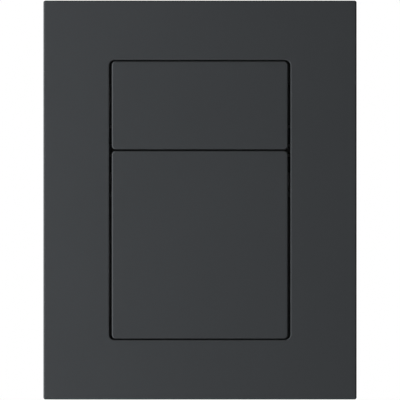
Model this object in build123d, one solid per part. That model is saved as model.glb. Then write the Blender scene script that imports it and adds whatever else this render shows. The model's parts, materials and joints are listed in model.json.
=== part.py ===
from build123d import *
import os

# Flush button plate for a concealed cistern, in millimetres.
# X runs to the right seen from the front, Z is up, the front faces -Y and the finished wall is y = 0.
# The origin is the middle of the plate on the wall plane.

# Face plate
plate_width = 157.0
plate_height = 200.0
plate_depth = 11.0
plate_skin = 2.2
plate_wall = 2.0
plate_corner_radius = 1.1
plate_edge_radius = 0.9
plate_wall_clearance = 0.3
plate_rib_thickness = 1.2
plate_rib_depth = 2.3
plate_rib_pitch = 30.0

# Window in the face plate and the collar behind it
window_width = 90.8
window_height = 140.3
window_corner_radius = 2.8
window_edge_radius = 0.5
collar_wall = 1.4
collar_depth = 7.0

# Buttons
side_gap = 1.2
end_gap = 0.6
middle_gap = 0.7
small_button_height = 44.2
button_skin = 2.2
button_wall = 1.4
button_depth = 6.5
button_draft = 1.0
button_corner_radius = 2.0
button_edge_radius = 0.7
button_rib_thickness = 1.2
button_rib_depth = 1.8
button_rib_pitch = 22.0

# Hinges
hinge_inset = 5.4
pin_radius = 1.25
pin_clearance = 0.05
pin_overhang = 1.2
pin_chamfer = 0.3
knuckle_radius = 2.6
knuckle_width = 3.0
knuckle_side_clearance = 0.4
knuckle_skin_clearance = 0.7
knuckle_rail_clearance = 0.9
lug_width = 4.0
lug_spacing = 60.0
pin_notch_clearance = 0.25

# Button stops
stop_tab_length = 8.0
stop_tab_thickness = 1.6
stop_tab_inset = 2.8
stop_tab_clearance = 1.6
bumper_thickness = 1.0

# Button springs
spring_radius = 3.0
spring_wire_radius = 0.4
spring_turns = 3.5
spring_seat_gap = 0.05
small_spring_arm = 13.0
large_spring_arm = 26.0
spring_rib_clearance = 0.8
spigot_radius = 2.1
spigot_length = 2.0

# Carrier
carrier_thickness = 3.0
carrier_end_overlap = 1.0
carrier_rail_inset = 6.0
carrier_lip_thickness = 1.2
carrier_lip_depth = 2.0
carrier_corner_radius = 4.0
carrier_inside_radius = 2.5
shield_overlap = 1.2
shield_thickness = 1.0
lower_shield_overrun = 13.0
upper_shield_overrun = 7.8
crossbar_width = 3.6
tongue_half_width = 4.5

# Carrier screws and their bosses
boss_radius = 3.0
screw_shank_radius = 1.2
screw_thread_clearance = 0.05
screw_hole_clearance = 0.4
screw_head_radius = 2.5
screw_head_clearance = 0.3
screw_head_height = 1.8
screw_head_chamfer = 0.7
screw_bite = 5.5
screw_hole_spare = 0.5

# Push rods
rod_radius = 4.0
rod_guide_clearance = 0.05
rod_reach = 55.0
rod_tip_chamfer = 0.8
rod_spigot_radius = 2.2
rod_spigot_length = 1.8
rod_spigot_clearance = 0.05
small_rod_from_split = 9.0
large_rod_from_split = 13.0
rod_travel_space = 5.3
cap_radius = 5.5
cap_thickness = 3.0
cap_chamfer = 0.8
post_radius = 3.5
post_reach = 10.0
post_dome_radius = 9.0
post_gap = 0.2

# Rod guides and retaining clips
guide_radius = 7.0
guide_length = 12.5
guide_stand = 1.0
guide_chamfer = 0.8
clip_thickness = 1.0
clip_width = 2.6
clip_groove_depth = 0.8
clip_clearance = 0.1
clip_mouth = 5.0

# Mounting frame
flange_standoff = 4.0
flange_thickness = 2.0
flange_corner_radius = 6.0
flange_edge_radius = 0.8
flange_skirt_clearance = 4.0
flange_rim_wall = 2.0
flange_rib_thickness = 1.6
flange_rib_pitch = 30.0
flange_rib_clearance = 0.5
tub_clearance = 1.2
tub_wall = 1.8
tub_corner_radius = 6.0
tub_edge_radius = 1.5
panel_thickness = 2.5
panel_border = 6.0
panel_window_radius = 5.0
bridge_margin = 11.5
bridge_rib_thickness = 2.0
bridge_rib_depth = 5.0
bridge_rib_runout = 8.0
bridge_rib_spacing = 24.0

# Snap hooks between the face plate and the mounting frame
hook_spacing = 90.0
hook_width = 10.0
hook_thickness = 1.5
hook_barb = 1.2
hook_catch_clearance = 0.05
hook_lead = 1.4
hook_slot_clearance = 0.4
support_rib_thickness = 1.6

# Fixing studs, washers and hand nuts
stud_spacing = 84.0
stud_radius = 3.0
stud_neck_radius = 2.5
stud_reach = 48.0
stud_tip_chamfer = 0.8
stud_shoulder_gap = 1.0
stud_nut_overhang = 1.0
stud_slot_length = 13.0
stud_slot_clearance = 0.2
stud_thread_clearance = 0.05
washer_radius = 6.0
washer_thickness = 1.0
nut_radius = 6.5
nut_height = 5.0
nut_collar_radius = 5.0
nut_collar_height = 1.5
nut_flutes = 12
nut_flute_radius = 0.9

# Levels along Y, from the front to the wall and on into the wall opening
front = -plate_depth
plate_rear = -plate_wall_clearance
plate_inside = front + plate_skin
plate_rib_rear = plate_inside + plate_rib_depth
collar_rear = front + collar_depth
button_inside = front + button_skin
button_rear = front + button_depth
hinge_y = button_inside + knuckle_skin_clearance + knuckle_radius
carrier_front = hinge_y + knuckle_radius + knuckle_rail_clearance
carrier_rear = carrier_front + carrier_thickness
stop_front = collar_rear + bumper_thickness
stop_rear = stop_front + stop_tab_thickness
post_tip = front + post_reach
cap_front = post_tip + post_gap
cap_rear = cap_front + cap_thickness
guide_front = cap_rear + rod_travel_space
guide_rear = guide_front + guide_length
panel_front = guide_front + guide_stand
panel_rear = panel_front + panel_thickness
clip_front = guide_rear + clip_clearance
clip_rear = clip_front + clip_thickness
flange_front = -flange_standoff
flange_rear = flange_front + flange_thickness
nut_rear = panel_front - washer_thickness
nut_front = nut_rear - nut_height
stud_front = nut_front - stud_nut_overhang
stud_shoulder = panel_rear + stud_shoulder_gap

# Places in X and Z
plate_inner_width = plate_width - 2 * plate_wall
plate_inner_height = plate_height - 2 * plate_wall
collar_width = window_width + 2 * collar_wall
collar_height = window_height + 2 * collar_wall
button_width = window_width - 2 * side_gap
small_top = window_height / 2 - end_gap
small_bottom = small_top - small_button_height
large_top = small_bottom - middle_gap
large_bottom = end_gap - window_height / 2
split_z = (small_bottom + large_top) / 2
small_hinge_z = small_top - hinge_inset
large_hinge_z = large_bottom + hinge_inset
small_spring_z = small_hinge_z - small_spring_arm
large_spring_z = large_hinge_z + large_spring_arm
small_rod_z = split_z + small_rod_from_split
large_rod_z = split_z - large_rod_from_split
small_stop_z = small_bottom + stop_tab_inset + stop_tab_length / 2
large_stop_z = large_top - stop_tab_inset - stop_tab_length / 2
carrier_rail_width = 2 * (screw_head_radius + screw_head_clearance + carrier_lip_thickness)
carrier_opening_width = collar_width + 2 * stop_tab_clearance
carrier_width = carrier_opening_width + 2 * carrier_rail_width
carrier_height = window_height + 2 * carrier_end_overlap
carrier_opening_top = small_hinge_z - carrier_rail_inset
carrier_opening_bottom = large_hinge_z + carrier_rail_inset
screw_x = (carrier_opening_width + carrier_rail_width) / 2
screw_places = [(side * screw_x, z) for side in (-1, 1) for z in (large_hinge_z, 0, small_hinge_z)]
tub_inner_width = carrier_width + 2 * tub_clearance
tub_inner_height = carrier_height + 2 * tub_clearance
tub_width = tub_inner_width + 2 * tub_wall
tub_height = tub_inner_height + 2 * tub_wall
flange_width = plate_inner_width - 2 * flange_skirt_clearance
flange_height = plate_inner_height - 2 * flange_skirt_clearance
bridge_top = small_rod_z + bridge_margin
bridge_bottom = -bridge_margin
hook_x = (tub_width + flange_width - 2 * flange_rim_wall) / 4
hook_places = [(side, level * hook_spacing / 2) for side in (-1, 1) for level in (-1, 1)]
stud_x = stud_spacing / 2


def slab(outline, y_from, y_to):
    """Solid made by drawing an X-Z outline at y_from and extruding it back to y_to."""
    return extrude(Plane.XZ.offset(-y_to) * outline, amount=y_to - y_from)


def bar(profile, x_from, x_to):
    """Solid made by extruding a Y-Z profile along X."""
    return extrude(Plane.YZ.offset(x_from) * profile, amount=x_to - x_from)


def disc(radius, y_from, y_to, x=0, z=0):
    """Round solid along Y."""
    return slab(Pos(x, z) * Circle(radius), y_from, y_to)


def rectangle_between(x_from, x_to, z_from, z_to):
    """X-Z rectangle given by its edges."""
    return Pos((x_from + x_to) / 2, (z_from + z_to) / 2) * Rectangle(x_to - x_from, z_to - z_from)


def pattern(span, pitch):
    """Evenly spaced places on both sides of zero that stay inside the span."""
    steps = int(span / 2 / pitch)
    return [step * pitch for step in range(-steps, steps + 1)]


def rib_lines(rows_span, columns_span, pitch, thickness):
    """X-Z outlines of a grid of ribs across the whole plate, to be cut to the field they stand in."""
    rows = [Pos(0, z) * Rectangle(plate_width, thickness) for z in pattern(rows_span, pitch)]
    columns = [Pos(x, 0) * Rectangle(thickness, plate_height) for x in pattern(columns_span, pitch)]
    return rows + columns


def make_hook(side, z):
    """Snap hook on the back of the face plate, with a barb that catches behind the flange."""
    catch = flange_rear + hook_catch_clearance
    inner = hook_x - hook_thickness / 2
    outer = hook_x + hook_thickness / 2
    outline = Polygon(
        (inner, plate_inside),
        (outer, plate_inside),
        (outer, catch),
        (outer + hook_barb, catch),
        (outer, catch + hook_lead),
        (inner, catch + hook_lead),
        align=None,
    )
    hook = extrude(Plane.XY.offset(z - hook_width / 2) * outline, amount=hook_width)
    return hook if side > 0 else mirror(hook, about=Plane.YZ)


def make_face_plate():
    """Moulded cover: flat front, skirt, window with a collar, ribs, screw bosses and snap hooks."""
    outline = RectangleRounded(plate_width, plate_height, plate_corner_radius)
    window = RectangleRounded(window_width, window_height, window_corner_radius)
    collar = RectangleRounded(collar_width, collar_height, window_corner_radius + collar_wall)
    cavity = Rectangle(plate_inner_width, plate_inner_height)

    plate = slab(outline, front, plate_rear)
    plate = fillet(plate.edges().group_by(Axis.Y)[0], plate_edge_radius)
    plate -= slab(cavity, plate_inside, plate_rear)
    plate -= slab(window, front, plate_inside)
    window_edges = plate.edges().group_by(Axis.Y)[0].filter_by(
        lambda edge: abs(edge.center().X) < collar_width / 2 and abs(edge.center().Z) < collar_height / 2
    )
    plate = fillet(window_edges, window_edge_radius)
    plate += slab(collar - window, plate_inside, collar_rear)

    # Ribs stiffen the border between the collar and the skirt.
    border = cavity - collar
    for line in rib_lines(window_height, window_width, plate_rib_pitch, plate_rib_thickness):
        plate += slab(line & border, plate_inside, plate_rib_rear)

    # Each hook stands on a pair of ribs that rest on the mounting frame.
    for side, z in hook_places:
        plate += make_hook(side, z)
        for end in (-1, 1):
            rib_z = z + end * (hook_width / 2 + support_rib_thickness)
            rib_from = tub_width / 2
            rib_to = hook_x + hook_thickness / 2
            rib = rectangle_between(
                rib_from, rib_to, rib_z - support_rib_thickness / 2, rib_z + support_rib_thickness / 2
            )
            rib = slab(rib, plate_inside, flange_front)
            plate += rib if side > 0 else mirror(rib, about=Plane.YZ)

    pilot_radius = screw_shank_radius + screw_thread_clearance
    pilot_front = carrier_front - screw_bite - screw_hole_spare
    for x, z in screw_places:
        plate += disc(boss_radius, plate_inside, carrier_front, x, z)
    for x, z in screw_places:
        plate -= disc(pilot_radius, pilot_front, carrier_front, x, z)
    return plate


def make_knuckle(hinge_z, x_from, x_to):
    """Hinge knuckle that grows out of a button's skin, before its bore is cut."""
    web = Pos((button_inside - button_skin / 2 + hinge_y) / 2, hinge_z) * Rectangle(
        hinge_y - button_inside + button_skin / 2, 2 * knuckle_radius
    )
    profile = web + Pos(hinge_y, hinge_z) * Circle(knuckle_radius)
    return bar(profile, x_from, x_to)


def make_button(bottom, top, hinge_z, spring_z, rod_z, stop_z):
    """Rocker button: drafted cap with ribs, hinge knuckles, spring spigot, actuating post and stop tabs."""
    height = top - bottom
    middle = (top + bottom) / 2
    face = Plane(origin=(0, front, middle), x_dir=(1, 0, 0), z_dir=(0, 1, 0))
    inside = Plane(origin=(0, button_inside, middle), x_dir=(1, 0, 0), z_dir=(0, 1, 0))
    outline = RectangleRounded(button_width, height, button_corner_radius)
    inner_width = button_width - 2 * button_wall
    inner_height = height - 2 * button_wall
    cavity = Rectangle(inner_width, inner_height)

    button = extrude(face * outline, amount=button_depth, taper=button_draft)
    button = fillet(button.edges().group_by(Axis.Y)[0], button_edge_radius)
    button -= extrude(inside * cavity, amount=button_depth, taper=button_draft)

    # Ribs across the back of the skin, clear of the spring.
    spring_space = spring_radius + spring_wire_radius + spring_rib_clearance
    field = Pos(0, middle) * Rectangle(inner_width, inner_height) - Pos(0, spring_z) * Circle(spring_space)
    rows = [Pos(0, middle + z) * Rectangle(inner_width, button_rib_thickness)
            for z in pattern(inner_height - button_rib_pitch, button_rib_pitch)]
    columns = [Pos(x, middle) * Rectangle(button_rib_thickness, inner_height)
               for x in pattern(inner_width, button_rib_pitch) if x != 0]
    for line in rows + columns:
        button += slab(line & field, button_inside, button_inside + button_rib_depth)

    # Knuckles stand on both sides of each carrier lug.
    near = lug_spacing / 2 - lug_width / 2 - knuckle_side_clearance
    far = lug_spacing / 2 + lug_width / 2 + knuckle_side_clearance
    for x_from, x_to in ((near - knuckle_width, near), (far, far + knuckle_width)):
        button += make_knuckle(hinge_z, x_from, x_to)
        button += make_knuckle(hinge_z, -x_to, -x_from)
    bore = Pos(hinge_y, hinge_z) * Circle(pin_radius + pin_clearance)
    button -= bar(bore, -far - knuckle_width, far + knuckle_width)

    # The side walls have a notch through which the pin is slid in.
    notch_half = pin_radius + pin_notch_clearance
    notch = Pos((hinge_y - notch_half + button_rear) / 2, hinge_z) * Rectangle(
        button_rear - hinge_y + notch_half, 2 * notch_half
    )
    notch += Pos(hinge_y, hinge_z) * Circle(notch_half)
    for side in (-1, 1):
        x_near = side * (button_width / 2 - 2 * button_wall)
        x_far = side * (button_width / 2 + side_gap)
        button -= bar(notch, min(x_near, x_far), max(x_near, x_far))

    # Spring spigot and the domed post that presses the rod.
    button += disc(spigot_radius, button_inside - button_skin / 2, button_inside + spigot_length, 0, spring_z)
    post = disc(post_radius, button_inside - button_skin / 2, post_tip, 0, rod_z)
    button += post & Pos(0, post_tip - post_dome_radius, rod_z) * Sphere(post_dome_radius)

    # Stop tabs reach out behind the collar from legs that lengthen the side walls.
    drafted_half = button_width / 2 - button_wall
    leg = rectangle_between(
        drafted_half - button_wall, drafted_half,
        stop_z - stop_tab_length / 2, stop_z + stop_tab_length / 2,
    )
    tab = rectangle_between(
        drafted_half - button_wall, collar_width / 2,
        stop_z - stop_tab_length / 2, stop_z + stop_tab_length / 2,
    )
    stop = slab(leg, button_inside, stop_rear) + slab(tab, stop_front, stop_rear)
    button += stop
    button += mirror(stop, about=Plane.YZ)
    return button


def make_hinge_pin(hinge_z):
    """Plain steel pin through the carrier lugs and the button's knuckles."""
    half = lug_spacing / 2 + lug_width / 2 + knuckle_side_clearance + knuckle_width + pin_overhang
    pin = bar(Pos(hinge_y, hinge_z) * Circle(pin_radius), -half, half)
    return chamfer(pin.edges().filter_by(GeomType.CIRCLE), pin_chamfer)


def make_spring(spring_z):
    """Compression spring between a button's skin and the seat on the carrier."""
    start = button_inside + spring_seat_gap + spring_wire_radius
    length = carrier_front - spring_seat_gap - spring_wire_radius - start
    coil = Helix(
        pitch=length / spring_turns,
        height=length,
        radius=spring_radius,
        center=(0, start, spring_z),
        direction=(0, 1, 0),
    )
    section = Plane(origin=coil @ 0, z_dir=coil % 0) * RegularPolygon(spring_wire_radius, 6)
    return sweep(section, path=coil, is_frenet=True)


def make_bumpers(stop_z):
    """Pair of rubber pads on the collar, under one button's stop tabs."""
    pad = rectangle_between(
        window_width / 2, collar_width / 2, stop_z - stop_tab_length / 2, stop_z + stop_tab_length / 2
    )
    pad = slab(pad, collar_rear, stop_front)
    return Compound(children=[pad, mirror(pad, about=Plane.YZ)])


def make_lug(hinge_z, x_middle):
    """Carrier lug that holds a hinge pin."""
    reach = (carrier_front + carrier_rear) / 2
    web = Pos((hinge_y + reach) / 2, hinge_z) * Rectangle(reach - hinge_y, 2 * knuckle_radius)
    profile = web + Pos(hinge_y, hinge_z) * Circle(knuckle_radius)
    return bar(profile, x_middle - lug_width / 2, x_middle + lug_width / 2)


def make_carrier():
    """Ring behind the window with hinge lugs, spring tongues, a lip, shields, a crossbar and screw holes."""
    outline = RectangleRounded(carrier_width, carrier_height, carrier_corner_radius)
    inner = RectangleRounded(
        carrier_width - 2 * carrier_lip_thickness,
        carrier_height - 2 * carrier_lip_thickness,
        carrier_corner_radius - carrier_lip_thickness,
    )

    # The opening goes round the two tongues that seat the springs.
    opening = rectangle_between(
        -carrier_opening_width / 2, carrier_opening_width / 2, carrier_opening_bottom, carrier_opening_top
    )
    for root_z, spring_z in ((carrier_opening_top, small_spring_z), (carrier_opening_bottom, large_spring_z)):
        opening -= rectangle_between(
            -tongue_half_width, tongue_half_width, min(root_z, spring_z), max(root_z, spring_z)
        )
        opening -= Pos(0, spring_z) * Circle(tongue_half_width)
    levels = opening.vertices().group_by(Axis.Y)
    opening = fillet(levels[0] + levels[-1], carrier_inside_radius)
    carrier = slab(outline - opening, carrier_front, carrier_rear)
    carrier += slab(outline - inner, carrier_rear, carrier_rear + carrier_lip_depth)

    # Shields close the side gaps of the buttons where the mounting frame is open behind them.
    shield_inner = button_width / 2 - shield_overlap
    shield_outer = carrier_opening_width / 2
    for z_from, z_to in (
        (carrier_opening_bottom, bridge_bottom + lower_shield_overrun),
        (bridge_top - upper_shield_overrun, carrier_opening_top),
    ):
        shield = rectangle_between(shield_inner, shield_outer, z_from, z_to)
        shield = slab(shield, carrier_rear - shield_thickness, carrier_rear)
        carrier += shield
        carrier += mirror(shield, about=Plane.YZ)

    # The crossbar ties the side rails together behind the gap between the buttons.
    crossbar = Pos(0, split_z) * Rectangle(carrier_width - carrier_lip_thickness, crossbar_width)
    carrier += slab(crossbar, carrier_rear, carrier_rear + carrier_lip_depth)

    for spring_z in (small_spring_z, large_spring_z):
        carrier += disc(spigot_radius, carrier_front - spigot_length, carrier_front, 0, spring_z)
    for hinge_z in (small_hinge_z, large_hinge_z):
        for side in (-1, 1):
            carrier += make_lug(hinge_z, side * lug_spacing / 2)
        bore = Pos(hinge_y, hinge_z) * Circle(pin_radius)
        carrier -= bar(bore, -lug_spacing / 2 - lug_width, lug_spacing / 2 + lug_width)

    for x, z in screw_places:
        carrier -= disc(screw_shank_radius + screw_hole_clearance, carrier_front, carrier_rear, x, z)
    return carrier


def make_carrier_screws():
    """Six pan head screws from the back of the carrier into the bosses of the face plate."""
    head = disc(screw_head_radius, carrier_rear, carrier_rear + screw_head_height)
    head = chamfer(head.edges().group_by(Axis.Y)[-1], screw_head_chamfer)
    shank = disc(screw_shank_radius, carrier_front - screw_bite, carrier_rear)
    screw = head + shank
    return Compound(children=[Pos(x, 0, z) * screw for x, z in screw_places])


def make_edge_rib(z_from):
    """Rib along an edge of the bridge, with ends that run out into the back panel."""
    foot = tub_inner_width / 2
    crest = foot - bridge_rib_runout
    crest_y = panel_rear + bridge_rib_depth
    outline = Polygon(
        (-foot, panel_rear), (foot, panel_rear), (crest, crest_y), (-crest, crest_y), align=None
    )
    return extrude(Plane.XY.offset(z_from) * outline, amount=bridge_rib_thickness)


def make_mounting_frame():
    """Flange on the wall with a tub in the wall opening, two windows, a bridge and guides for the rods."""
    flange = RectangleRounded(flange_width, flange_height, flange_corner_radius)
    rim_inner = RectangleRounded(
        flange_width - 2 * flange_rim_wall,
        flange_height - 2 * flange_rim_wall,
        flange_corner_radius - flange_rim_wall,
    )
    tub = RectangleRounded(tub_width, tub_height, tub_corner_radius)
    tub_inner = RectangleRounded(tub_inner_width, tub_inner_height, tub_corner_radius - tub_wall)

    frame = slab(flange, flange_front, 0)
    frame = fillet(frame.edges().group_by(Axis.Y)[0], flange_edge_radius)
    frame -= slab(rim_inner, flange_rear, 0)
    tub_block = slab(tub, flange_rear, panel_rear)
    frame += fillet(tub_block.edges().group_by(Axis.Y)[-1], tub_edge_radius)
    frame -= slab(tub_inner, flange_front, panel_front)

    # The back panel keeps a border and a bridge between two windows.
    window_half = tub_inner_width / 2 - panel_border
    window_end = tub_inner_height / 2 - panel_border
    lower_window = rectangle_between(-window_half, window_half, -window_end, bridge_bottom)
    upper_window = rectangle_between(-window_half, window_half, bridge_top, window_end)
    lower_window = fillet(lower_window.vertices(), panel_window_radius)
    upper_window = fillet(upper_window.vertices(), panel_window_radius)
    frame -= slab(lower_window, panel_front, panel_rear)
    frame -= slab(upper_window, panel_front, panel_rear)

    # Ribs under the flange, short of the wall.
    flange_border = rim_inner - tub
    for line in rib_lines(tub_height, tub_width, flange_rib_pitch, flange_rib_thickness):
        frame += slab(line & flange_border, flange_rear, -flange_rib_clearance)

    # Ribs along both edges of the bridge and across it.
    frame += make_edge_rib(bridge_bottom)
    frame += make_edge_rib(bridge_top - bridge_rib_thickness)
    for x in (-bridge_rib_spacing, 0, bridge_rib_spacing):
        rib = rectangle_between(
            x - bridge_rib_thickness / 2, x + bridge_rib_thickness / 2, bridge_bottom, bridge_top
        )
        frame += slab(rib, panel_rear, panel_rear + bridge_rib_depth)

    for rod_z in (small_rod_z, large_rod_z):
        guide = disc(guide_radius, guide_front, guide_rear, 0, rod_z)
        frame += chamfer(guide.edges().group_by(Axis.Y)[-1], guide_chamfer)
    for rod_z in (small_rod_z, large_rod_z):
        frame -= disc(rod_radius + rod_guide_clearance, guide_front, guide_rear, 0, rod_z)

    slot_width = 2 * (stud_neck_radius + stud_slot_clearance)
    for side in (-1, 1):
        slot = Pos(side * stud_x, 0) * SlotOverall(stud_slot_length, slot_width)
        frame -= slab(slot, panel_front, panel_rear)

    for side, z in hook_places:
        slot_from = hook_x - hook_thickness / 2 - hook_barb - hook_slot_clearance
        slot_to = hook_x + hook_thickness / 2 + hook_slot_clearance / 2
        slot_half = hook_width / 2 + hook_slot_clearance
        slot = rectangle_between(slot_from, slot_to, z - slot_half, z + slot_half)
        slot = slab(slot, flange_front, flange_rear)
        frame -= slot if side > 0 else mirror(slot, about=Plane.YZ)
    return frame


def make_push_rod(rod_z):
    """Rod that reaches back to the cistern's lever, with a spigot for its cap and a groove for its clip."""
    rod = disc(rod_radius, cap_rear, rod_reach)
    rod = chamfer(rod.edges().group_by(Axis.Y)[-1], rod_tip_chamfer)
    rod += disc(rod_spigot_radius, cap_rear - rod_spigot_length, cap_rear)
    groove = disc(rod_radius, clip_front, clip_rear)
    groove -= disc(rod_radius - clip_groove_depth, clip_front, clip_rear)
    rod -= groove
    return Pos(0, 0, rod_z) * rod


def make_rod_cap(rod_z):
    """Pressure cap pushed onto the front end of a rod."""
    cap = disc(cap_radius, cap_front, cap_rear)
    cap = chamfer(cap.edges().group_by(Axis.Y)[0], cap_chamfer)
    cap -= disc(rod_spigot_radius + rod_spigot_clearance, cap_rear - rod_spigot_length, cap_rear)
    return Pos(0, 0, rod_z) * cap


def make_rod_clip(rod_z):
    """Open retaining clip in the rod's groove, just behind the guide."""
    inner_radius = rod_radius - clip_groove_depth
    ring = Circle(inner_radius + clip_width) - Circle(inner_radius)
    ring -= Pos(0, -inner_radius - clip_width / 2) * Rectangle(clip_mouth, 2 * clip_width)
    return Pos(0, 0, rod_z) * slab(ring, clip_front, clip_rear)


def make_fixing_stud(side):
    """Shouldered stud: a neck for the hand nut and a thicker free end for the cistern's fixing."""
    stud = disc(stud_radius, stud_shoulder, stud_reach)
    stud = chamfer(stud.edges().group_by(Axis.Y)[-1], stud_tip_chamfer)
    stud += disc(stud_neck_radius, stud_front, stud_shoulder)
    return Pos(side * stud_x, 0, 0) * stud


def make_fixing_washer(side):
    """Flat washer under a hand nut."""
    washer = disc(washer_radius, nut_rear, panel_front)
    washer -= disc(stud_neck_radius + stud_slot_clearance, nut_rear, panel_front)
    return Pos(side * stud_x, 0, 0) * washer


def make_fixing_nut(side):
    """Fluted hand nut with a collar."""
    grip = Circle(nut_radius)
    flute = Circle(nut_flute_radius)
    grip -= [Rot(0, 0, turn * 360 / nut_flutes) * Pos(nut_radius, 0) * flute for turn in range(nut_flutes)]
    nut = slab(grip, nut_front, nut_rear - nut_collar_height)
    nut += disc(nut_collar_radius, nut_rear - nut_collar_height, nut_rear)
    nut -= disc(stud_neck_radius + stud_thread_clearance, nut_front, nut_rear)
    return Pos(side * stud_x, 0, 0) * nut


def main():
    parts = {
        "face_plate": make_face_plate(),
        "small_flush_button": make_button(
            small_bottom, small_top, small_hinge_z, small_spring_z, small_rod_z, small_stop_z
        ),
        "large_flush_button": make_button(
            large_bottom, large_top, large_hinge_z, large_spring_z, large_rod_z, large_stop_z
        ),
        "button_carrier": make_carrier(),
        "carrier_screws": make_carrier_screws(),
        "mounting_frame": make_mounting_frame(),
    }
    rows = (
        ("small", small_hinge_z, small_spring_z, small_stop_z, small_rod_z),
        ("large", large_hinge_z, large_spring_z, large_stop_z, large_rod_z),
    )
    for size, hinge_z, spring_z, stop_z, rod_z in rows:
        parts[f"{size}_button_hinge_pin"] = make_hinge_pin(hinge_z)
        parts[f"{size}_button_spring"] = make_spring(spring_z)
        parts[f"{size}_button_bumpers"] = make_bumpers(stop_z)
        parts[f"{size}_flush_push_rod"] = make_push_rod(rod_z)
        parts[f"{size}_flush_rod_cap"] = make_rod_cap(rod_z)
        parts[f"{size}_flush_rod_clip"] = make_rod_clip(rod_z)
    for name, side in (("left", -1), ("right", 1)):
        parts[f"fixing_stud_{name}"] = make_fixing_stud(side)
        parts[f"fixing_washer_{name}"] = make_fixing_washer(side)
        parts[f"fixing_nut_{name}"] = make_fixing_nut(side)

    os.makedirs("parts", exist_ok=True)
    for name, shape in parts.items():
        export_step(shape, f"parts/{name}.step")


main()
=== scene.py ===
import json
import math

import bmesh
import bpy
from bpy.props import FloatProperty, FloatVectorProperty, IntProperty, PointerProperty
from mathutils import Matrix, Vector


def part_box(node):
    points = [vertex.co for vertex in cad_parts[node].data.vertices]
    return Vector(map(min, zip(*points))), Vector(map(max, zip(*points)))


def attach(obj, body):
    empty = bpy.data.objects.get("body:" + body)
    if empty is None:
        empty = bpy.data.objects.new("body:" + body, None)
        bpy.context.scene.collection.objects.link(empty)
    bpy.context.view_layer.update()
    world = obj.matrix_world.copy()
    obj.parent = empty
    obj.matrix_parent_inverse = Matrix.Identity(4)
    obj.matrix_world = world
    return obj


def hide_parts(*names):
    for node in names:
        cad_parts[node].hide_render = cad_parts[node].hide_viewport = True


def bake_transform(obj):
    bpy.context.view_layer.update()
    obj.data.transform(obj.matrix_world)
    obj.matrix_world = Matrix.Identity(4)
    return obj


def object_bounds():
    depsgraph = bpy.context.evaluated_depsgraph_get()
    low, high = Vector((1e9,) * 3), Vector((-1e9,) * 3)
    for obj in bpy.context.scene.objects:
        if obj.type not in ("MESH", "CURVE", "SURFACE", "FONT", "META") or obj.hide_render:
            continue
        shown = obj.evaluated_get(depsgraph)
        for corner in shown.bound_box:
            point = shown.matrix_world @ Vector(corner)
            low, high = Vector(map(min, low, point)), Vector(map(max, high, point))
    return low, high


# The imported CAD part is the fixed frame. Everything below is in its metres and at its origin.
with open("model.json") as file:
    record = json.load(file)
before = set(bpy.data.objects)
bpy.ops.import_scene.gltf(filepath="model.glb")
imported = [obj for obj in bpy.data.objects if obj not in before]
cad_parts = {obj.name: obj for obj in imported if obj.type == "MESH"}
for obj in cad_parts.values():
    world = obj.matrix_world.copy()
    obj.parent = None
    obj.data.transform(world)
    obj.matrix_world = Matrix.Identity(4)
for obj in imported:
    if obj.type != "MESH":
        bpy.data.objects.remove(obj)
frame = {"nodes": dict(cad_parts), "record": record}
CAD_LOW, CAD_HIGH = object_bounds()
FRONT = CAD_LOW.y

bl_info = {
    "name": "Flush Button Plate",
    "version": (1, 0, 0),
    "blender": (4, 5, 0),
    "location": "View3D > Sidebar > Flush Plate",
    "description": "Finishes and fine pieces of a dual flush plate for a concealed cistern",
    "category": "Object",
}

# Words that repeat in the names of the frame's nodes and bodies
SIDES = ("left", "right")
BUTTONS = ("small", "large")

# Vertices closer than this count as one, in a new piece and in the copy of a CAD node.
MERGE_DISTANCE = 1e-7
NODE_MERGE_DISTANCE = 1e-6

# An edge whose faces meet at more than this stays sharp.
SHARP_ANGLE = math.radians(32)
QUARTER_TURN = math.pi / 2

# Steps in one turn of a round form
SMALL_ROUND_STEPS = 32
ROUND_STEPS = 48
SPRING_STEPS = 28
SCREW_THREAD_STEPS = 18
STUD_THREAD_STEPS = 28

# A stud's neck is this much of the radius of its free end.
NECK_SHARE = 5 / 6

# Most values of a noise pattern lie between these two.
NOISE_LOW = 0.3
NOISE_HIGH = 0.7

WHITE = (1, 1, 1, 1)


class FlushPlateSizes(bpy.types.PropertyGroup):
    """Sizes of the pieces that are modelled here more finely than in the frame."""

    wire_diameter: FloatProperty(
        name="Spring wire",
        description="Diameter of the wire of the return springs",
        default=0.00072,
        unit="LENGTH",
        precision=5,
    )
    active_turns: FloatProperty(
        name="Active turns",
        description="Open turns of a return spring, between its closed ends",
        default=3.0,
    )
    stud_pitch: FloatProperty(
        name="Stud pitch",
        description="Thread pitch on the free end of a fixing stud",
        default=0.001,
        unit="LENGTH",
        precision=5,
    )
    neck_pitch: FloatProperty(
        name="Neck pitch",
        description="Thread pitch on the neck that carries the hand nut",
        default=0.0008,
        unit="LENGTH",
        precision=5,
    )
    screw_pitch: FloatProperty(
        name="Screw pitch",
        description="Thread pitch of the self tapping carrier screws",
        default=0.0011,
        unit="LENGTH",
        precision=5,
    )
    screw_head: FloatProperty(
        name="Screw head",
        description="Height of the head of a carrier screw",
        default=0.0018,
        unit="LENGTH",
        precision=5,
    )
    mark_pitch: FloatProperty(
        name="Rod mark pitch",
        description="Distance between the ring marks for cutting a push rod to length",
        default=0.005,
        unit="LENGTH",
        precision=5,
    )
    nut_flutes: IntProperty(
        name="Nut flutes",
        description="Flutes round the grip of a hand nut",
        default=12,
        min=6,
    )


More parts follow.
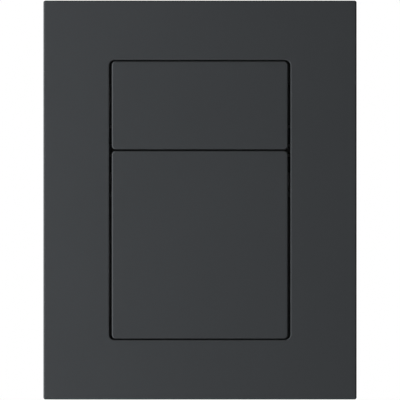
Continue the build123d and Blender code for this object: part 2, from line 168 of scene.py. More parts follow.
class FlushPlateColours(bpy.types.PropertyGroup):
    """Colours of the finishes, in linear light."""

    plate: FloatVectorProperty(
        name="Plate",
        description="Matte lacquer of the face plate",
        subtype="COLOR",
        default=(0.0375, 0.0403, 0.0430),
        min=0,
        max=1,
    )
    button: FloatVectorProperty(
        name="Buttons",
        description="Matte lacquer of the two rocker buttons",
        subtype="COLOR",
        default=(0.0375, 0.0403, 0.0430),
        min=0,
        max=1,
    )
    carrier: FloatVectorProperty(
        name="Carrier",
        description="Moulded black of the button carrier",
        subtype="COLOR",
        default=(0.015, 0.015, 0.016),
        min=0,
        max=1,
    )
    frame_grey: FloatVectorProperty(
        name="Mounting frame",
        description="Moulded grey of the frame on the wall",
        subtype="COLOR",
        default=(0.42, 0.43, 0.44),
        min=0,
        max=1,
    )
    rod: FloatVectorProperty(
        name="Push rods",
        description="Natural white of the push rods",
        subtype="COLOR",
        default=(0.74, 0.74, 0.71),
        min=0,
        max=1,
    )
    cap: FloatVectorProperty(
        name="Rod caps",
        description="Grey of the pressure caps",
        subtype="COLOR",
        default=(0.28, 0.29, 0.30),
        min=0,
        max=1,
    )
    nut: FloatVectorProperty(
        name="Hand nuts",
        description="Satin black of the hand nuts",
        subtype="COLOR",
        default=(0.04, 0.04, 0.043),
        min=0,
        max=1,
    )
    zinc: FloatVectorProperty(
        name="Zinc",
        description="Zinc plating of studs, washers and screws",
        subtype="COLOR",
        default=(0.45, 0.46, 0.48),
        min=0,
        max=1,
    )
    steel: FloatVectorProperty(
        name="Steel",
        description="Bright drawn steel of pins, springs and clips",
        subtype="COLOR",
        default=(0.50, 0.49, 0.48),
        min=0,
        max=1,
    )
    rubber: FloatVectorProperty(
        name="Rubber",
        description="Black rubber of the bumpers",
        subtype="COLOR",
        default=(0.016, 0.016, 0.016),
        min=0,
        max=1,
    )


class FlushPlateStage(bpy.types.PropertyGroup):
    """Camera, floor and lights."""

    lens: FloatProperty(
        name="Lens",
        description="Focal length of the camera in millimetres",
        default=300,
    )
    frame_height: FloatProperty(
        name="Frame height",
        description="Height of the picture at the front of the plate",
        default=0.2004,
        unit="LENGTH",
        precision=5,
    )
    floor_drop: FloatProperty(
        name="Floor drop",
        description="Distance from the plate's lower edge to the floor",
        default=0.15,
        unit="LENGTH",
    )
    floor_colour: FloatVectorProperty(
        name="Floor",
        description="Pale grey of the floor, in linear light",
        subtype="COLOR",
        default=(0.75, 0.75, 0.75),
        min=0,
        max=1,
    )
    ambient: FloatProperty(
        name="Ambient",
        description="Strength of the soft light from all round",
        default=0.1,
    )
    key_power: FloatProperty(
        name="Key light",
        description="Power of the soft light at the left of the plate",
        default=24.8,
        unit="POWER",
    )
    rear_power: FloatProperty(
        name="Rear light",
        description="Power of the soft light behind the wall plane",
        default=10.0,
        unit="POWER",
    )


def settings():
    """The three groups of values on the scene."""
    scene = bpy.context.scene
    return scene.flush_plate_sizes, scene.flush_plate_colours, scene.flush_plate_stage


# Finishes

def new_finish(name):
    """Empty node material, its main shader and the Object coordinates that its patterns use."""
    finish = bpy.data.materials.new(name)
    finish.use_nodes = True
    nodes = finish.node_tree.nodes
    place = nodes.new("ShaderNodeTexCoord")
    return finish, nodes["Principled BSDF"], place.outputs["Object"]


def add_noise(finish, place, size, detail, stretch=(1, 1, 1)):
    """Noise whose spots are about the given size in metres, drawn out along an axis by a small stretch."""
    nodes = finish.node_tree.nodes
    links = finish.node_tree.links
    mapping = nodes.new("ShaderNodeMapping")
    mapping.inputs["Scale"].default_value = stretch
    noise = nodes.new("ShaderNodeTexNoise")
    noise.inputs["Scale"].default_value = 1 / size
    noise.inputs["Detail"].default_value = detail
    links.new(place, mapping.inputs["Vector"])
    links.new(mapping.outputs["Vector"], noise.inputs["Vector"])
    return noise.outputs["Fac"]


def tint(finish, shader, pattern, colour, spread):
    """Lets the base colour wander a little round the given one."""
    mix = finish.node_tree.nodes.new("ShaderNodeMix")
    mix.data_type = "RGBA"
    mix.inputs["A"].default_value = (*[part * (1 - spread) for part in colour], 1)
    mix.inputs["B"].default_value = (*[part * (1 + spread) for part in colour], 1)
    finish.node_tree.links.new(pattern, mix.inputs["Factor"])
    finish.node_tree.links.new(mix.outputs["Result"], shader.inputs["Base Color"])


def roughen(finish, shader, pattern, roughness, spread):
    """Lets the roughness wander round the given one."""
    span = finish.node_tree.nodes.new("ShaderNodeMapRange")
    span.inputs["From Min"].default_value = NOISE_LOW
    span.inputs["From Max"].default_value = NOISE_HIGH
    span.inputs["To Min"].default_value = roughness - spread
    span.inputs["To Max"].default_value = roughness + spread
    finish.node_tree.links.new(pattern, span.inputs["Value"])
    finish.node_tree.links.new(span.outputs["Result"], shader.inputs["Roughness"])


def emboss(finish, shader, pattern, depth, strength, soft_edge=0.0):
    """Turns a pattern into fine relief, on edges that look softened by the given radius."""
    nodes = finish.node_tree.nodes
    links = finish.node_tree.links
    bump = nodes.new("ShaderNodeBump")
    bump.inputs["Distance"].default_value = depth
    bump.inputs["Strength"].default_value = strength
    links.new(pattern, bump.inputs["Height"])
    links.new(bump.outputs["Normal"], shader.inputs["Normal"])
    if soft_edge > 0:
        edge = nodes.new("ShaderNodeBevel")
        edge.samples = 4
        edge.inputs["Radius"].default_value = soft_edge
        links.new(edge.outputs["Normal"], bump.inputs["Normal"])


def moulded_finish(name, colour, roughness, grain, specular, soft_edge=0.0):
    """Moulded or lacquered plastic with a fine grain and faint clouding."""
    finish, shader, place = new_finish(name)
    shader.inputs["Specular IOR Level"].default_value = specular
    clouds = add_noise(finish, place, size=0.03, detail=2.0)
    spots = add_noise(finish, place, size=grain, detail=4.0)
    tint(finish, shader, clouds, colour, spread=0.03)
    roughen(finish, shader, spots, roughness, spread=0.05)
    emboss(finish, shader, spots, depth=grain / 12, strength=0.35, soft_edge=soft_edge)
    return finish


def metal_finish(name, colour, roughness, grain, stretch=(1, 1, 1)):
    """Plated or drawn metal with a fine grain, drawn out into lines along an axis by a small stretch."""
    finish, shader, place = new_finish(name)
    shader.inputs["Metallic"].default_value = 1.0
    clouds = add_noise(finish, place, size=0.004, detail=3.0)
    lines = add_noise(finish, place, size=grain, detail=3.0, stretch=stretch)
    tint(finish, shader, clouds, colour, spread=0.08)
    roughen(finish, shader, lines, roughness, spread=0.06)
    emboss(finish, shader, lines, depth=0.00001, strength=0.12)
    return finish


def dress(finish, *nodes):
    """Gives CAD nodes a finish."""
    for node in nodes:
        for slot in frame["nodes"][node].material_slots:
            slot.material = finish


# Mesh helpers

def verts_in(items):
    """Vertices among an operator's results."""
    return [item for item in items if isinstance(item, bmesh.types.BMVert)]


def edges_in(items):
    """Edges among an operator's results."""
    return [item for item in items if isinstance(item, bmesh.types.BMEdge)]


def linked_edges(verts):
    """Edges at some vertices, each once."""
    return list(dict.fromkeys(edge for vert in verts for edge in vert.link_edges))


def linked_faces(verts):
    """Faces at some vertices, each once."""
    return list(dict.fromkeys(face for vert in verts for face in vert.link_faces))


def corners(places):
    """Lowest and highest corner of the box round some points."""
    low = Vector([min(place[axis] for place in places) for axis in range(3)])
    high = Vector([max(place[axis] for place in places) for axis in range(3)])
    return low, high


def add_piece(name, bm, finish, body, slot, *nodes):
    """Turns a mesh into a piece that stands for CAD nodes and moves with a body, or with none."""
    bmesh.ops.remove_doubles(bm, verts=bm.verts, dist=MERGE_DISTANCE)
    bmesh.ops.recalc_face_normals(bm, faces=bm.faces)
    mesh = bpy.data.meshes.new(name)
    bm.to_mesh(mesh)
    bm.free()
    mesh.shade_smooth()
    mesh.set_sharp_from_angle(angle=SHARP_ANGLE)
    mesh.materials.append(finish)
    piece = bpy.data.objects.new(name, mesh)
    bpy.context.scene.collection.objects.link(piece)
    if body:
        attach(piece, body)
    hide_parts(*nodes)
    return piece


def turn(bm, outline, x, z, steps):
    """Spins an outline of (radius, y) points into a round form about the line through x and z along Y."""
    verts = [bm.verts.new((x + radius, y, z)) for radius, y in outline]
    edges = [bm.edges.new(pair) for pair in zip(verts, verts[1:])]
    bmesh.ops.spin(
        bm,
        geom=verts + edges,
        cent=(x, 0, z),
        axis=(0, 1, 0),
        angle=2 * math.pi,
        steps=steps,
        use_merge=True,
    )


def cut_flat(bm, verts, y, side):
    """Cuts a shell square to Y, drops what lies beyond and gives back the flat faces that close it."""
    cut = bmesh.ops.bisect_plane(
        bm,
        geom=verts + linked_edges(verts) + linked_faces(verts),
        dist=MERGE_DISTANCE,
        plane_co=(0, y, 0),
        plane_no=(0, side, 0),
        clear_outer=True,
    )
    return bmesh.ops.holes_fill(bm, edges=edges_in(cut["geom_cut"]))["faces"]


def thread(bm, x, z, y_from, y_to, radius, pitch, depth, steps, chamfer):
    """Closed threaded bar along Y: one pitch of the profile run along a helix, then cut at both ends."""
    old = set(bm.verts)
    root = radius - depth

    # The helix starts before the bar and ends behind it, so that both cuts go through whole turns.
    turns = math.ceil((y_to - y_from) / pitch) + 2
    start = y_from - 1.5 * pitch

    # Each point of the profile is a radius and a share of the pitch.
    profile = ((root, 0), (radius, 0.4), (radius, 0.55), (root, 0.95), (root, 1))
    verts = [bm.verts.new((x + reach, start + share * pitch, z)) for reach, share in profile]
    edges = [bm.edges.new(pair) for pair in zip(verts, verts[1:])]
    bmesh.ops.spin(
        bm,
        geom=verts + edges,
        cent=(x, 0, z),
        axis=(0, 1, 0),
        dvec=(0, pitch / steps, 0),
        angle=2 * math.pi * turns,
        steps=turns * steps,
    )
    fresh = [vert for vert in bm.verts if vert not in old]
    bmesh.ops.remove_doubles(bm, verts=fresh, dist=pitch / 1000)

    # Each end is cut short by the chamfer, and its flat face then stands out again by as much.
    for y, side in ((y_from + chamfer, -1), (y_to - chamfer, 1)):
        fresh = [vert for vert in bm.verts if vert not in old]
        flat = cut_flat(bm, fresh, y, side)
        bmesh.ops.recalc_face_normals(bm, faces=[face for face in bm.faces if face.verts[0] not in old])
        bmesh.ops.inset_region(bm, faces=flat, thickness=chamfer, depth=chamfer)


def node_side(node, side):
    """Lowest and highest corner of the part of a CAD node on one side of the middle."""
    return corners([vert.co for vert in frame["nodes"][node].data.vertices if vert.co.x * side > 0])


def node_centres(node):
    """Middle of each separate solid of a CAD node, found by merging a copy of its loose triangles."""
    bm = bmesh.new()
    bm.from_mesh(frame["nodes"][node].data)
    bmesh.ops.remove_doubles(bm, verts=bm.verts, dist=NODE_MERGE_DISTANCE)
    seen = set()
    centres = []
    for start in bm.verts:
        if start in seen:
            continue
        seen.add(start)
        waiting = [start]
        places = []
        while waiting:
            vert = waiting.pop()
            places.append(vert.co.copy())
            for edge in vert.link_edges:
                other = edge.other_vert(vert)
                if other not in seen:
                    seen.add(other)
                    waiting.append(other)
        low, high = corners(places)
        centres.append((low + high) / 2)
    bm.free()
    return centres


# Pieces

class FLUSHPLATE_OT_dress_front(bpy.types.Operator):
    """Give the face plate and the buttons their matte black lacquer"""

    bl_idname = "flush_plate.dress_front"
    bl_label = "Lacquer Plate and Buttons"

    def execute(self, context):
        _, colours, _ = settings()
        lacquer = {"roughness": 0.6, "grain": 0.00022, "specular": 0.03, "soft_edge": 0.0002}
        plate = moulded_finish("matte_black_plate", colours.plate, **lacquer)
        button = moulded_finish("matte_black_button", colours.button, **lacquer)
        dress(plate, "face_plate")
        dress(button, "small_flush_button", "large_flush_button")
        return {"FINISHED"}


class FLUSHPLATE_OT_dress_inside(bpy.types.Operator):
    """Give the carrier, the mounting frame and the small fittings their finishes"""

    bl_idname = "flush_plate.dress_inside"
    bl_label = "Finish Carrier and Frame"

    def execute(self, context):
        _, colours, _ = settings()
        carrier = moulded_finish(
            "moulded_black_carrier",
            colours.carrier,
            roughness=0.5,
            grain=0.0005,
            specular=0.25,
            soft_edge=0.0003,
        )
        grey = moulded_finish(
            "moulded_grey_frame",
            colours.frame_grey,
            roughness=0.48,
            grain=0.0006,
            specular=0.5,
            soft_edge=0.0004,
        )
        zinc = metal_finish("zinc_washer", colours.zinc, roughness=0.36, grain=0.0002)
        steel = metal_finish("spring_steel_clip", colours.steel, roughness=0.3, grain=0.00006)
        dress(carrier, "button_carrier")
        dress(grey, "mounting_frame")
        for size in BUTTONS:
            dress(steel, f"{size}_flush_rod_clip")
        for side in SIDES:
            dress(zinc, f"fixing_washer_{side}")
        return {"FINISHED"}


class FLUSHPLATE_OT_build_springs(bpy.types.Operator):
    """Wind the two return springs from round wire with closed ends"""

    bl_idname = "flush_plate.build_springs"
    bl_label = "Wind Return Springs"

    def execute(self, context):
        sizes, colours, _ = settings()
        steel = metal_finish("bright_spring_wire", colours.steel, roughness=0.25, grain=0.00006)
        for size in BUTTONS:
            node = f"{size}_button_spring"
            low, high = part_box(node)
            z = (low.z + high.z) / 2
            bm = bmesh.new()
            self.wind(bm, low, high, z, sizes.wire_diameter, sizes.active_turns)
            piece = add_piece(f"{size}_return_spring", bm, steel, None, "bright_steel", node)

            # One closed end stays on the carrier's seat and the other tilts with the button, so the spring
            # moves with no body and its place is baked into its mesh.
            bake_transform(piece)
        return {"FINISHED"}

    def wind(self, bm, low, high, z, wire, active_turns):
        """Coil along Y: a closed turn at each end and open turns between."""
        wire_sides = 10
        radius = (high.x - low.x) / 2 - wire / 2
        start = Matrix.Translation((radius, low.y + wire / 2, z))
        ring = bmesh.ops.create_circle(bm, segments=wire_sides, radius=wire / 2, matrix=start)["verts"]
        ends = linked_edges(ring)
        bmesh.ops.holes_fill(bm, edges=ends)

        # The closed turns rise by the wire's thickness each, and the wire itself takes up one more.
        open_length = high.y - low.y - 3 * wire
        for turns, rise in ((1, wire), (active_turns, open_length), (1, wire)):
            count = round(turns * SPRING_STEPS)
            verts = list(dict.fromkeys(vert for edge in ends for vert in edge.verts))
            last = bmesh.ops.spin(
                bm,
                geom=ends + verts,
                cent=(0, 0, z),
                axis=(0, 1, 0),
                dvec=(0, rise / count, 0),
                angle=2 * math.pi * turns,
                steps=count,
            )["geom_last"]
            ends = edges_in(last)
        bmesh.ops.holes_fill(bm, edges=ends)


class FLUSHPLATE_OT_build_pins(bpy.types.Operator):
    """Turn the two hinge pins with broken ends"""

    bl_idname = "flush_plate.build_pins"
    bl_label = "Turn Hinge Pins"

    def execute(self, context):
        _, colours, _ = settings()
        along = (0.02, 1, 1)
        steel = metal_finish("bright_drawn_pin", colours.steel, roughness=0.28, grain=0.0002, stretch=along)
        for size in BUTTONS:
            node = f"{size}_button_hinge_pin"
            low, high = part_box(node)
            middle = (low + high) / 2
            half = (high.x - low.x) / 2
            radius = (high.z - low.z) / 2
            break_edge = radius * 0.2
            outline = [
                (0, -half),
                (radius - break_edge, -half),
                (radius, -half + break_edge),
                (radius, half - break_edge),
                (radius - break_edge, half),
                (0, half),
            ]
            bm = bmesh.new()
            turn(bm, outline, 0, 0, SMALL_ROUND_STEPS)
            turned = Matrix.Rotation(QUARTER_TURN, 3, "Z")
            bmesh.ops.rotate(bm, verts=bm.verts, cent=(0, 0, 0), matrix=turned)
            bmesh.ops.translate(bm, verts=bm.verts, vec=middle)
            add_piece(f"{size}_turned_hinge_pin", bm, steel, "plate", "bright_steel", node)
        return {"FINISHED"}


class FLUSHPLATE_OT_build_bumpers(bpy.types.Operator):
    """Mould the rubber pads under the stop tabs"""

    bl_idname = "flush_plate.build_bumpers"
    bl_label = "Mould Bumpers"

    def execute(self, context):
        _, colours, _ = settings()
        rubber = moulded_finish(
            "black_bumper_rubber", colours.rubber, roughness=0.75, grain=0.0003, specular=0.3
        )
        edge_radius = 0.00022
        for size in BUTTONS:
            node = f"{size}_button_bumpers"
            bm = bmesh.new()
            for side in (-1, 1):
                low, high = node_side(node, side)
                place = Matrix.Translation((low + high) / 2) @ Matrix.Diagonal((*(high - low), 1))
                bmesh.ops.create_cube(bm, size=1, matrix=place)
            bmesh.ops.bevel(
                bm,
                geom=bm.edges,
                offset=edge_radius,
                affect="EDGES",
                segments=3,
                profile=0.5,
                material=-1,
            )
            add_piece(f"{size}_bumper_pads", bm, rubber, "plate", "bumper_rubber", node)
        return {"FINISHED"}


class FLUSHPLATE_OT_build_screws(bpy.types.Operator):
    """Make the carrier screws with a cross recess and a coarse thread"""

    bl_idname = "flush_plate.build_screws"
    bl_label = "Make Carrier Screws"

    def execute(self, context):
        sizes, colours, _ = settings()
        zinc = metal_finish("zinc_screw", colours.zinc, roughness=0.33, grain=0.0002)
        node = "carrier_screws"
        low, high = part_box(node)
        seat = high.y - sizes.screw_head
        head_radius = 0.0025
        shank_radius = 0.0012
        sunk = 0.0003
        bm = bmesh.new()
        self.head(bm, seat, high.y, head_radius, shank_radius)
        thread(
            bm,
            x=0,
            z=0,
            y_from=low.y,
            y_to=seat + sunk,
            radius=shank_radius,
            pitch=sizes.screw_pitch,
            depth=0.00025,
            steps=SCREW_THREAD_STEPS,
            chamfer=0.0002,
        )

        # The first screw stays at the origin until the others are copied from it.
        first = list(bm.verts) + list(bm.edges) + list(bm.faces)
        places = node_centres(node)
        for place in places[1:]:
            copy = bmesh.ops.duplicate(bm, geom=first)["geom"]
            bmesh.ops.translate(bm, verts=verts_in(copy), vec=(place.x, 0, place.z))
        bmesh.ops.translate(bm, verts=verts_in(first), vec=(places[0].x, 0, places[0].z))
        add_piece("cross_recess_screws", bm, zinc, "plate", "zinc_steel", node)
        return {"FINISHED"}

    def head(self, bm, seat, top, radius, shank):
        """Closed pan head with a cross recess, round the line along Y through the origin."""
        height = top - seat
        outline = [
            (shank * 0.5, seat),
            (radius, seat),
            (radius, seat + height * 0.45),
            (radius * 0.97, seat + height * 0.68),
            (radius * 0.88, seat + height * 0.88),
            (radius * 0.7, top),
        ]
        turn(bm, outline, 0, 0, SMALL_ROUND_STEPS)
        rims = [edge for edge in bm.edges if edge.is_boundary]
        lower = [edge for edge in rims if edge.verts[0].co.y < seat + height / 2]
        upper = [edge for edge in rims if edge not in lower]
        bmesh.ops.holes_fill(bm, edges=lower)

        # The cross starts from a small square whose sides are drawn out into four arms.
        half = radius * 0.15
        reach = radius * 0.58
        turned = Matrix.Translation((0, top, 0)) @ Matrix.Rotation(QUARTER_TURN, 4, "X")
        square = bmesh.ops.create_grid(bm, x_segments=1, y_segments=1, size=half, matrix=turned)["verts"]
        cross = list(square)
        for side in linked_edges(square):
            middle = (side.verts[0].co + side.verts[1].co) / 2
            outwards = Vector((middle.x, 0, middle.z)).normalized() * (reach - half)
            tips = verts_in(bmesh.ops.extrude_edge_only(bm, edges=[side])["geom"])
            bmesh.ops.translate(bm, verts=tips, vec=outwards)
            cross += tips

        # Only the outline of the cross stays, and the top of the head is filled round it.
        edges = linked_edges(cross)
        border = [edge for edge in edges if edge.is_boundary]
        inner = [edge for edge in edges if not edge.is_boundary]
        bmesh.ops.delete(bm, geom=linked_faces(cross), context="FACES_ONLY")
        bmesh.ops.delete(bm, geom=inner, context="EDGES")
        bmesh.ops.triangle_fill(bm, use_beauty=True, edges=border + upper)

        # The recess narrows towards its floor.
        depth = height * 0.62
        taper = 0.6
        recess = bmesh.ops.extrude_edge_only(bm, edges=border)["geom"]
        floor = verts_in(recess)
        bmesh.ops.translate(bm, verts=floor, vec=(0, -depth, 0))
        bmesh.ops.scale(bm, verts=floor, vec=(taper, 1, taper))
        bmesh.ops.holes_fill(bm, edges=edges_in(recess))


class FLUSHPLATE_OT_build_studs(bpy.types.Operator):
    """Thread the two fixing studs"""

    bl_idname = "flush_plate.build_studs"
    bl_label = "Thread Fixing Studs"

    def execute(self, context):
        sizes, colours, _ = settings()
        zinc = metal_finish("zinc_stud", colours.zinc, roughness=0.34, grain=0.0002)
        shoulder = self.shoulder()
        sunk = 0.001
        for side in SIDES:
            node = f"fixing_stud_{side}"
            low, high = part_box(node)
            middle = (low + high) / 2
            radius = (high.x - low.x) / 2
            bm = bmesh.new()
            thread(
                bm,
                middle.x,
                middle.z,
                y_from=shoulder,
                y_to=high.y,
                radius=radius,
                pitch=sizes.stud_pitch,
                depth=0.0005,
                steps=STUD_THREAD_STEPS,
                chamfer=0.0005,
            )
            thread(
                bm,
                middle.x,
                middle.z,
                y_from=low.y,
                y_to=shoulder + sunk,
                radius=radius * NECK_SHARE,
                pitch=sizes.neck_pitch,
                depth=0.0004,
                steps=STUD_THREAD_STEPS,
                chamfer=0.0003,
            )
            add_piece(f"threaded_fixing_stud_{side}", bm, zinc, "plate", "zinc_steel", node)
        return {"FINISHED"}

    def shoulder(self):
        """Level where a stud's neck ends, from the mount that stands there."""
        for mount in frame["record"]["mounts"]:
            if mount["name"] == "fixing_studs":
                return mount["pos_m"][1]
        raise RuntimeError("the record has no fixing_studs mount")


class FLUSHPLATE_OT_build_nuts(bpy.types.Operator):
    """Mould the fluted hand nuts"""

    bl_idname = "flush_plate.build_nuts"
    bl_label = "Mould Hand Nuts"

    def execute(self, context):
        sizes, colours, _ = settings()
        satin = moulded_finish("satin_black_nut", colours.nut, roughness=0.38, grain=0.0004, specular=0.5)
        clearance = 0.00005
        for side in SIDES:
            node = f"fixing_nut_{side}"
            low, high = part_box(node)
            middle = (low + high) / 2
            stud_low, stud_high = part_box(f"fixing_stud_{side}")
            bore = (stud_high.x - stud_low.x) / 2 * NECK_SHARE + clearance
            bm = bmesh.new()
            self.mould(bm, low, high, middle, bore, sizes.nut_flutes)
            add_piece(f"fluted_hand_nut_{side}", bm, satin, "plate", "nut_plastic", node)
        return {"FINISHED"}

    def mould(self, bm, low, high, middle, bore, flutes):
        """Grip with rounded flutes, a round collar behind it and a bore chamfered at the front."""
        radius = (high.z - low.z) / 2
        height = high.y - low.y
        collar = radius * 10 / 13
        grip_end = low.y + height * 0.7
        flute = radius * 0.11
        lead = 0.0004
        break_edge = 0.0003

        # Each ring of the section is a radius, the depth of its flutes and a level.
        section = [
            (bore, 0, high.y),
            (bore, 0, low.y + lead),
            (bore + lead, 0, low.y),
            (radius * 0.86, flute * 0.5, low.y),
            (radius * 0.95, flute * 0.9, low.y + 0.0002),
            (radius, flute, low.y + 0.0007),
            (radius, flute, grip_end - 0.0006),
            (radius * 0.96, flute * 0.9, grip_end - 0.0001),
            (radius * 0.9, flute * 0.5, grip_end),
            (collar, 0, grip_end),
            (collar, 0, high.y - break_edge),
            (collar - break_edge, 0, high.y),
        ]
        steps = flutes * 10
        turned = Matrix.Translation((0, high.y, 0)) @ Matrix.Rotation(QUARTER_TURN, 4, "X")
        ring = bmesh.ops.create_circle(bm, segments=steps, radius=bore, matrix=turned)["verts"]
        first = linked_edges(ring)
        edges = first
        for reach, depth, y in section[1:]:
            step = bmesh.ops.extrude_edge_only(bm, edges=edges)["geom"]
            edges = edges_in(step)
            for vert in verts_in(step):
                angle = math.atan2(vert.co.z, vert.co.x)

                # The power makes a flute narrower than the land beside it.
                wave = max(0, math.cos(flutes * angle)) ** 1.5
                out = Vector((vert.co.x, 0, vert.co.z)).normalized() * (reach - depth * wave)
                vert.co = (out.x, y, out.z)
        bmesh.ops.bridge_loops(bm, edges=first + edges)
        bmesh.ops.translate(bm, verts=bm.verts, vec=(middle.x, 0, middle.z))


class FLUSHPLATE_OT_build_caps(bpy.types.Operator):
    """Turn the pressure caps on the front ends of the rods"""

    bl_idname = "flush_plate.build_caps"
    bl_label = "Turn Rod Caps"

    def execute(self, context):
        _, colours, _ = settings()
        grey = moulded_finish("satin_grey_cap", colours.cap, roughness=0.35, grain=0.0004, specular=0.5)
        for size in BUTTONS:
            node = f"{size}_flush_rod_cap"
            low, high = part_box(node)
            middle = (low + high) / 2
            radius = (high.x - low.x) / 2
            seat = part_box(f"{size}_flush_push_rod")[0].y
            socket = radius * 0.41
            soft = radius * 0.15
            outline = [(0, low.y), (radius - soft, low.y)]
            for degrees in (30, 60):
                angle = math.radians(degrees)
                reach = radius - soft + soft * math.sin(angle)
                outline.append((reach, low.y + soft - soft * math.cos(angle)))
            outline += [
                (radius, low.y + soft),
                (radius, high.y - soft / 3),
                (radius - soft / 3, high.y),
                (socket, high.y),
                (socket, seat),
                (0, seat),
            ]
            bm = bmesh.new()
            turn(bm, outline, middle.x, middle.z, ROUND_STEPS)
            add_piece(f"{size}_pressure_cap", bm, grey, f"{size}_rod", "cap_grey", node)
        return {"FINISHED"}


class FLUSHPLATE_OT_build_rods(bpy.types.Operator):
    """Turn the two push rods with ring marks for cutting them to length"""

    bl_idname = "flush_plate.build_rods"
    bl_label = "Turn Push Rods"

    def execute(self, context):
        sizes, colours, _ = settings()
        white = moulded_finish("natural_white_rod", colours.rod, roughness=0.4, grain=0.0005, specular=0.5)
        for size in BUTTONS:
            node = f"{size}_flush_push_rod"
            low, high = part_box(node)
            clip_low, clip_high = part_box(f"{size}_flush_rod_clip")
            middle = (low + high) / 2
            outline = self.outline(
                front=low.y,
                rear=high.y,
                radius=(high.x - low.x) / 2,
                cap_rear=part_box(f"{size}_flush_rod_cap")[1].y,
                groove_front=clip_low.y,
                groove_rear=clip_high.y,
                pitch=sizes.mark_pitch,
            )
            bm = bmesh.new()
            turn(bm, outline, middle.x, middle.z, ROUND_STEPS)
            add_piece(f"{size}_marked_push_rod", bm, white, f"{size}_rod", "rod_white", node)
        return {"FINISHED"}

    def outline(self, front, rear, radius, cap_rear, groove_front, groove_rear, pitch):
        """Section of a rod from its spigot to its tip."""
        spigot = radius * 0.55
        groove = radius * 0.8
        soft = radius * 0.05
        mark = radius * 0.1
        tip = radius * 0.2
        points = [
            (0, front),
            (spigot - soft, front),
            (spigot, front + soft),
            (spigot, cap_rear),
            (radius - soft, cap_rear),
            (radius, cap_rear + soft),
            (radius, groove_front),
            (groove, groove_front),
            (groove, groove_rear),
            (radius, groove_rear),
        ]
        count = int((rear - groove_rear - 2 * pitch) / pitch) + 1
        for step in range(1, count + 1):
            y = groove_rear + step * pitch
            points += [(radius, y - mark), (radius - mark, y), (radius, y + mark)]
        points += [
            (radius, rear - tip),
            (radius - tip * 0.6, rear - tip * 0.25),
            (radius - tip * 1.2, rear),
            (0, rear),
        ]
        return points


# Stage

def add_lamp(name, place, width, height, power):
    """Soft rectangular lamp that shines at the origin and that the camera doesn't see."""
    light = bpy.data.lights.new(name, "AREA")
    light.shape = "RECTANGLE"
    light.size = width
    light.size_y = height
    light.energy = power
    lamp = bpy.data.objects.new(name, light)
    lamp.location = place
    lamp.rotation_euler = (Vector((0, 0, 0)) - lamp.location).to_track_quat("-Z", "Y").to_euler()
    lamp.visible_camera = False
    bpy.context.scene.collection.objects.link(lamp)


def seen_white(tree):
    """One where the camera, a reflection or a view through glass meets the background, else zero."""
    path = tree.nodes.new("ShaderNodeLightPath")
    first = tree.nodes.new("ShaderNodeMath")
    first.operation = "MAXIMUM"
    second = tree.nodes.new("ShaderNodeMath")
    second.operation = "MAXIMUM"
    tree.links.new(path.outputs["Is Camera Ray"], first.inputs[0])
    tree.links.new(path.outputs["Is Glossy Ray"], first.inputs[1])
    tree.links.new(first.outputs["Value"], second.inputs[0])
    tree.links.new(path.outputs["Is Transmission Ray"], second.inputs[1])
    return second.outputs["Value"]


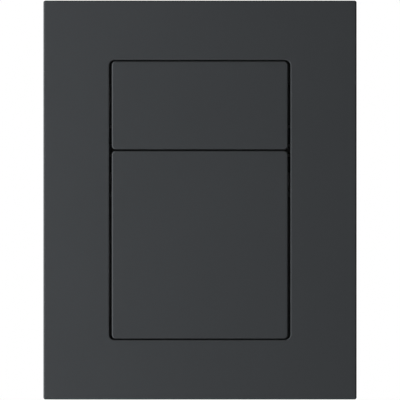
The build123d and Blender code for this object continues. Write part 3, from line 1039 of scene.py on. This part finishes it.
class FLUSHPLATE_OT_set_stage(bpy.types.Operator):
    """Set the camera, the floor, the lamps and the white surroundings"""

    bl_idname = "flush_plate.set_stage"
    bl_label = "Set Stage"

    def execute(self, context):
        _, _, stage = settings()
        context.scene.view_settings.view_transform = "Standard"
        self.camera(context, stage)
        self.surroundings(context, stage)
        self.floor(context, stage)
        add_lamp("key_lamp", place=(-0.89, -0.31, 0.0), width=0.3, height=0.6, power=stage.key_power)
        add_lamp("rear_lamp", place=(0.3, 0.9, 0.6), width=1.2, height=1.2, power=stage.rear_power)
        return {"FINISHED"}

    def camera(self, context, stage):
        """Long lens square to the front, as far away as the frame height needs."""
        camera = bpy.data.cameras.new("front_camera")
        camera.lens = stage.lens
        camera.sensor_width = 36
        camera.clip_end = 50
        distance = stage.frame_height * camera.lens / camera.sensor_width
        viewer = bpy.data.objects.new("front_camera", camera)
        viewer.location = (0, FRONT - distance, 0)
        viewer.rotation_euler = (QUARTER_TURN, 0, 0)
        context.scene.collection.objects.link(viewer)
        context.scene.camera = viewer

    def surroundings(self, context, stage):
        """White where it is seen, and a soft ambient light everywhere else."""
        world = bpy.data.worlds.new("white_surroundings")
        world.use_nodes = True
        tree = world.node_tree
        soft = tree.nodes["Background"]
        soft.inputs["Color"].default_value = WHITE
        soft.inputs["Strength"].default_value = stage.ambient
        white = tree.nodes.new("ShaderNodeBackground")
        white.inputs["Color"].default_value = WHITE
        white.inputs["Strength"].default_value = 1
        mix = tree.nodes.new("ShaderNodeMixShader")
        tree.links.new(seen_white(tree), mix.inputs["Fac"])
        tree.links.new(soft.outputs["Background"], mix.inputs[1])
        tree.links.new(white.outputs["Background"], mix.inputs[2])
        tree.links.new(mix.outputs["Shader"], tree.nodes["World Output"].inputs["Surface"])
        context.scene.world = world

    def floor(self, context, stage):
        """Round floor under the plate, with its face upwards."""
        bm = bmesh.new()
        level = Matrix.Translation((0, 0, CAD_LOW.z - stage.floor_drop))
        bmesh.ops.create_circle(bm, cap_ends=True, segments=96, radius=1.5, matrix=level)
        for face in bm.faces:
            face.normal_update()
            if face.normal.z < 0:
                face.normal_flip()
        mesh = bpy.data.meshes.new("studio_floor")
        bm.to_mesh(mesh)
        bm.free()
        mesh.materials.append(self.floor_finish(stage.floor_colour))
        floor = bpy.data.objects.new("studio_floor", mesh)
        context.scene.collection.objects.link(floor)

    def floor_finish(self, colour):
        """Pale finish that keeps the plate's shadow, runs out into the white and is clear from below."""
        finish, shader, place = new_finish("pale_floor")
        tree = finish.node_tree
        shader.inputs["Roughness"].default_value = 0.9
        shader.inputs["Specular IOR Level"].default_value = 0.1
        clouds = add_noise(finish, place, size=0.2, detail=2.0)
        tint(finish, shader, clouds, colour, spread=0.01)

        # The share of white grows with the distance from the origin, and only where it is seen.
        fade_start = 0.15
        fade_end = 0.6
        least_white = 0.25
        distance = tree.nodes.new("ShaderNodeVectorMath")
        distance.operation = "LENGTH"
        fade = tree.nodes.new("ShaderNodeMapRange")
        fade.inputs["From Min"].default_value = fade_start
        fade.inputs["From Max"].default_value = fade_end
        fade.inputs["To Min"].default_value = least_white
        share = tree.nodes.new("ShaderNodeMath")
        share.operation = "MULTIPLY"
        white = tree.nodes.new("ShaderNodeEmission")
        white.inputs["Color"].default_value = WHITE
        mix = tree.nodes.new("ShaderNodeMixShader")
        tree.links.new(place, distance.inputs[0])
        tree.links.new(distance.outputs["Value"], fade.inputs["Value"])
        tree.links.new(fade.outputs["Result"], share.inputs[0])
        tree.links.new(seen_white(tree), share.inputs[1])
        tree.links.new(share.outputs["Value"], mix.inputs["Fac"])
        tree.links.new(shader.outputs["BSDF"], mix.inputs[1])
        tree.links.new(white.outputs["Emission"], mix.inputs[2])

        # From below the floor is clear.
        sides = tree.nodes.new("ShaderNodeNewGeometry")
        clear = tree.nodes.new("ShaderNodeBsdfTransparent")
        one_sided = tree.nodes.new("ShaderNodeMixShader")
        tree.links.new(sides.outputs["Backfacing"], one_sided.inputs["Fac"])
        tree.links.new(mix.outputs["Shader"], one_sided.inputs[1])
        tree.links.new(clear.outputs["BSDF"], one_sided.inputs[2])
        tree.links.new(one_sided.outputs["Shader"], tree.nodes["Material Output"].inputs["Surface"])
        return finish


class FLUSHPLATE_PT_panel(bpy.types.Panel):
    """Panel that lists the steps in order"""

    bl_idname = "FLUSHPLATE_PT_panel"
    bl_label = "Flush Button Plate"
    bl_space_type = "VIEW_3D"
    bl_region_type = "UI"
    bl_category = "Flush Plate"

    def draw(self, context):
        for step in STEPS:
            self.layout.operator(step.bl_idname)
        for group in settings():
            for name in group.bl_rna.properties.keys():
                if name not in ("rna_type", "name"):
                    self.layout.prop(group, name)


STEPS = (
    FLUSHPLATE_OT_set_stage,
    FLUSHPLATE_OT_dress_front,
    FLUSHPLATE_OT_dress_inside,
    FLUSHPLATE_OT_build_springs,
    FLUSHPLATE_OT_build_pins,
    FLUSHPLATE_OT_build_bumpers,
    FLUSHPLATE_OT_build_screws,
    FLUSHPLATE_OT_build_studs,
    FLUSHPLATE_OT_build_nuts,
    FLUSHPLATE_OT_build_caps,
    FLUSHPLATE_OT_build_rods,
)
CLASSES = (FlushPlateSizes, FlushPlateColours, FlushPlateStage) + STEPS + (FLUSHPLATE_PT_panel,)


def register():
    for item in CLASSES:
        bpy.utils.register_class(item)
    bpy.types.Scene.flush_plate_sizes = PointerProperty(type=FlushPlateSizes)
    bpy.types.Scene.flush_plate_colours = PointerProperty(type=FlushPlateColours)
    bpy.types.Scene.flush_plate_stage = PointerProperty(type=FlushPlateStage)


def unregister():
    del bpy.types.Scene.flush_plate_stage
    del bpy.types.Scene.flush_plate_colours
    del bpy.types.Scene.flush_plate_sizes
    for item in reversed(CLASSES):
        bpy.utils.unregister_class(item)


def main():
    register()
    bpy.ops.flush_plate.set_stage()
    bpy.ops.flush_plate.dress_front()
    bpy.ops.flush_plate.dress_inside()
    bpy.ops.flush_plate.build_springs()
    bpy.ops.flush_plate.build_pins()
    bpy.ops.flush_plate.build_bumpers()
    bpy.ops.flush_plate.build_screws()
    bpy.ops.flush_plate.build_studs()
    bpy.ops.flush_plate.build_nuts()
    bpy.ops.flush_plate.build_caps()
    bpy.ops.flush_plate.build_rods()


if __name__ == "__main__":
    main()
